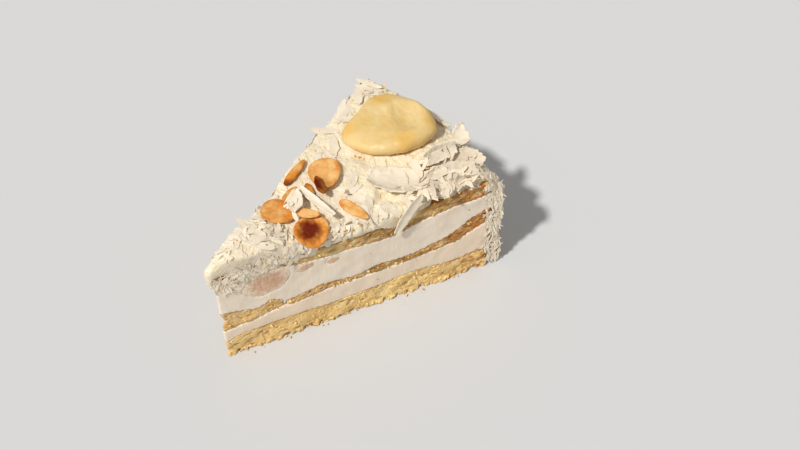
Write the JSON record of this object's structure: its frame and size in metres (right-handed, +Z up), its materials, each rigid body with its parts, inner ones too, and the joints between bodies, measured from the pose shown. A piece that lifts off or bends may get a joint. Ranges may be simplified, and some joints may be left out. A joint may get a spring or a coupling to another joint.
{
  "type": "slice of pineapple almond cake",
  "caption": "Wedge of layered sponge and cream cake with pineapple, toasted almond flakes and white shavings, standing on its flat base.",
  "frame": {"origin": "middle of the bounding box at the height of the slice's flat base", "axes": "+Z up; the wedge's tip points to -X and its round rim to +X; the cut that the picture shows faces -Y"},
  "size_m": [0.1258, 0.0796, 0.0647],
  "materials": {
    "sponge": "pale yellow crumb with open pores and browned skin along the layer edges, roughness 0.85",
    "cream": "smooth cut cream, roughness 0.55",
    "coat": "whipped cream covered with ivory shavings, roughness 0.6",
    "shaving": "waxy ivory white, roughness 0.5",
    "pineapple": "wet translucent pale yellow, roughness 0.2",
    "pineapple_inside": "dull greyish beige fibre, roughness 0.45",
    "almond": "toasted orange brown with darker rims and one burnt centre, roughness 0.45"
  },
  "bodies": {
    "root": {"sponge_base": "sponge", "sponge_middle_tip": "sponge", "sponge_middle": "sponge", "sponge_top": "sponge", "cream_lower": "cream", "cream_upper": "cream", "pineapple_inside_1": "pineapple_inside", "pineapple_inside_2": "pineapple_inside", "pineapple_inside_3": "pineapple_inside", "frosting": "coat", "pineapple_chunk": "pineapple", "almond_1": "almond", "almond_2": "almond", "almond_3": "almond", "almond_4": "almond", "almond_5": "almond", "almond_6": "almond", "almond_7": "almond", "almond_8": "almond", "almond_9": "almond", "shaving_petal_1": "shaving", "shaving_petal_2": "shaving", "shaving_petal_3": "shaving", "shaving_ridge": "shaving", "shaving_strip": "shaving", "shaving_fold": "shaving", "shaving_ruffle": "shaving", "shaving_shard": "shaving", "shaving_stick": "shaving"}
  },
  "joints": []
}
